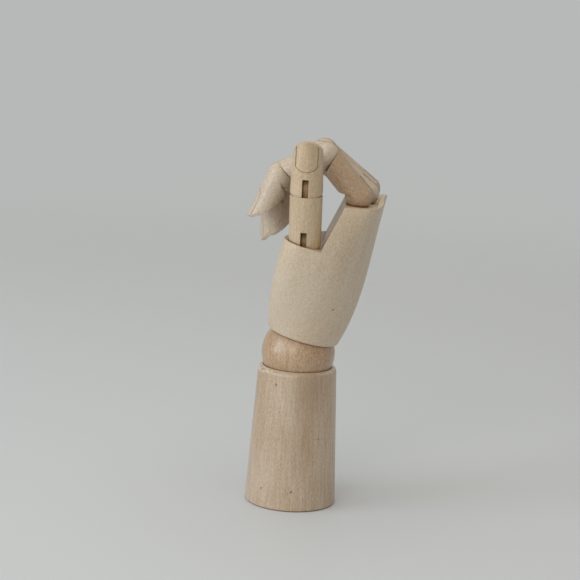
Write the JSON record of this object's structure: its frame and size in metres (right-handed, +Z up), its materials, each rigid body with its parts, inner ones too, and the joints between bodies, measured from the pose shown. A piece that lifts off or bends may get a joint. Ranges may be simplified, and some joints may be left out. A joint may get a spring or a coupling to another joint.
{
  "type": "wooden hand mannequin",
  "caption": "Jointed wooden artist's hand on a turned forearm stand, with a ball wrist and hinged finger and thumb segments that hold a pose.",
  "frame": {"origin": "middle of the forearm's flat foot, on the table", "axes": "+Z up along the forearm, +X towards the back of the hand, -Y towards the thumb's side"},
  "size_m": [0.0857, 0.1022, 0.2456],
  "materials": {
    "forearm_wood": "satin",
    "ball_wood": "satin",
    "palm_wood": "matte",
    "thumb_wood": "satin",
    "finger_wood": "satin",
    "tongue_wood": "satin",
    "wrist_hardware": "brushed",
    "pins": "brushed"
  },
  "bodies": {
    "forearm": {"forearm": "forearm_wood", "foot_plug": "forearm_wood", "spring_washer": "wrist_hardware", "wrist_spring": "wrist_hardware"},
    "draw_rod": {"draw_rod": "wrist_hardware", "rod_nut": "wrist_hardware"},
    "wrist_ball": {"wrist_ball": "ball_wood"},
    "palm": {"palm": "palm_wood", "palm_eye": "wrist_hardware", "knuckle_rod": "pins", "thumb_root_pin": "pins", "index_knuckle_tongue": "tongue_wood", "middle_knuckle_tongue": "tongue_wood", "ring_knuckle_tongue": "tongue_wood", "little_knuckle_tongue": "tongue_wood", "thumb_knuckle_tongue": "tongue_wood"},
    "index_proximal": {"index_proximal": "finger_wood", "index_proximal_pins": "pins", "index_proximal_tongue": "tongue_wood"},
    "index_middle": {"index_middle": "finger_wood", "index_middle_pins": "pins", "index_middle_tongue": "tongue_wood"},
    "index_distal": {"index_distal": "finger_wood", "index_distal_pin": "pins"},
    "middle_proximal": {"middle_proximal": "finger_wood", "middle_proximal_pins": "pins", "middle_proximal_tongue": "tongue_wood"},
    "middle_middle": {"middle_middle": "finger_wood", "middle_middle_pins": "pins", "middle_middle_tongue": "tongue_wood"},
    "middle_distal": {"middle_distal": "finger_wood", "middle_distal_pin": "pins"},
    "ring_proximal": {"ring_proximal": "finger_wood", "ring_proximal_pins": "pins", "ring_proximal_tongue": "tongue_wood"},
    "ring_middle": {"ring_middle": "finger_wood", "ring_middle_pins": "pins", "ring_middle_tongue": "tongue_wood"},
    "ring_distal": {"ring_distal": "finger_wood", "ring_distal_pin": "pins"},
    "little_proximal": {"little_proximal": "finger_wood", "little_proximal_pins": "pins", "little_proximal_tongue": "tongue_wood"},
    "little_middle": {"little_middle": "finger_wood", "little_middle_pins": "pins", "little_middle_tongue": "tongue_wood"},
    "little_distal": {"little_distal": "finger_wood", "little_distal_pin": "pins"},
    "thumb_proximal": {"thumb_proximal": "thumb_wood", "thumb_proximal_pins": "pins", "thumb_proximal_tongue": "tongue_wood"},
    "thumb_distal": {"thumb_distal": "thumb_wood", "thumb_distal_pin": "pins"}
  },
  "joints": [
    {"name": "wrist_twist", "type": "hinge", "parent": "forearm", "child": "draw_rod", "pos_m": [0, 0, 0.1002], "axis": [0, 0, 1], "range_deg": [-90, 90]},
    {"name": "wrist_sway", "type": "hinge", "parent": "draw_rod", "child": "wrist_ball", "pos_m": [0, 0, 0.1002], "axis": [1, 0, 0], "range_deg": [-20, 20]},
    {"name": "wrist_bend", "type": "hinge", "parent": "wrist_ball", "child": "palm", "pos_m": [0, 0, 0.1002], "axis": [0, 1, 0], "range_deg": [-32, 16]},
    {"name": "index_knuckle", "type": "hinge", "parent": "palm", "child": "index_proximal", "pos_m": [0.03476, -0.027, 0.20985], "axis": [0, -1, 0], "range_deg": [-55.8, 22]},
    {"name": "index_middle_joint", "type": "hinge", "parent": "index_proximal", "child": "index_middle", "pos_m": [0.01287, -0.027, 0.23373], "axis": [0, 1, 0], "range_deg": [-18, 73.7]},
    {"name": "index_tip_joint", "type": "hinge", "parent": "index_middle", "child": "index_distal", "pos_m": [-0.01585, -0.027, 0.2196], "axis": [0, -1, 0], "range_deg": [-41, 48]},
    {"name": "middle_knuckle", "type": "hinge", "parent": "palm", "child": "middle_proximal", "pos_m": [0.03755, -0.009, 0.20949], "axis": [0, -1, 0], "range_deg": [-66.5, 15]},
    {"name": "middle_middle_joint", "type": "hinge", "parent": "middle_proximal", "child": "middle_middle", "pos_m": [0.00712, -0.009, 0.23226], "axis": [0, 1, 0], "range_deg": [-13, 77.4]},
    {"name": "middle_tip_joint", "type": "hinge", "parent": "middle_middle", "child": "middle_distal", "pos_m": [-0.02188, -0.009, 0.2074], "axis": [0, -1, 0], "range_deg": [-52.1, 34]},
    {"name": "ring_knuckle", "type": "hinge", "parent": "palm", "child": "ring_proximal", "pos_m": [0.03721, 0.009, 0.20978], "axis": [0, -1, 0], "range_deg": [-65.5, 18]},
    {"name": "ring_middle_joint", "type": "hinge", "parent": "ring_proximal", "child": "ring_middle", "pos_m": [0.00837, 0.009, 0.23215], "axis": [0, 1, 0], "range_deg": [-4, 89]},
    {"name": "ring_tip_joint", "type": "hinge", "parent": "ring_middle", "child": "ring_distal", "pos_m": [-0.01294, 0.009, 0.20565], "axis": [0, -1, 0], "range_deg": [-31, 48]},
    {"name": "little_knuckle", "type": "hinge", "parent": "palm", "child": "little_proximal", "pos_m": [0.03417, 0.027, 0.20824], "axis": [0, -1, 0], "range_deg": [-63, 16]},
    {"name": "little_middle_joint", "type": "hinge", "parent": "little_proximal", "child": "little_middle", "pos_m": [0.01243, 0.027, 0.22667], "axis": [0, 1, 0], "range_deg": [-15, 76]},
    {"name": "little_tip_joint", "type": "hinge", "parent": "little_middle", "child": "little_distal", "pos_m": [-0.00868, 0.027, 0.2115], "axis": [0, -1, 0], "range_deg": [-36, 50]},
    {"name": "thumb_knuckle", "type": "hinge", "parent": "palm", "child": "thumb_proximal", "pos_m": [0.00368, -0.0427, 0.18184], "axis": [1, 0, 0], "range_deg": [-8, 15]},
    {"name": "thumb_tip_joint", "type": "hinge", "parent": "thumb_proximal", "child": "thumb_distal", "pos_m": [0.00368, -0.05189, 0.21613], "axis": [-1, 0, 0], "range_deg": [-8, 24]}
  ]
}
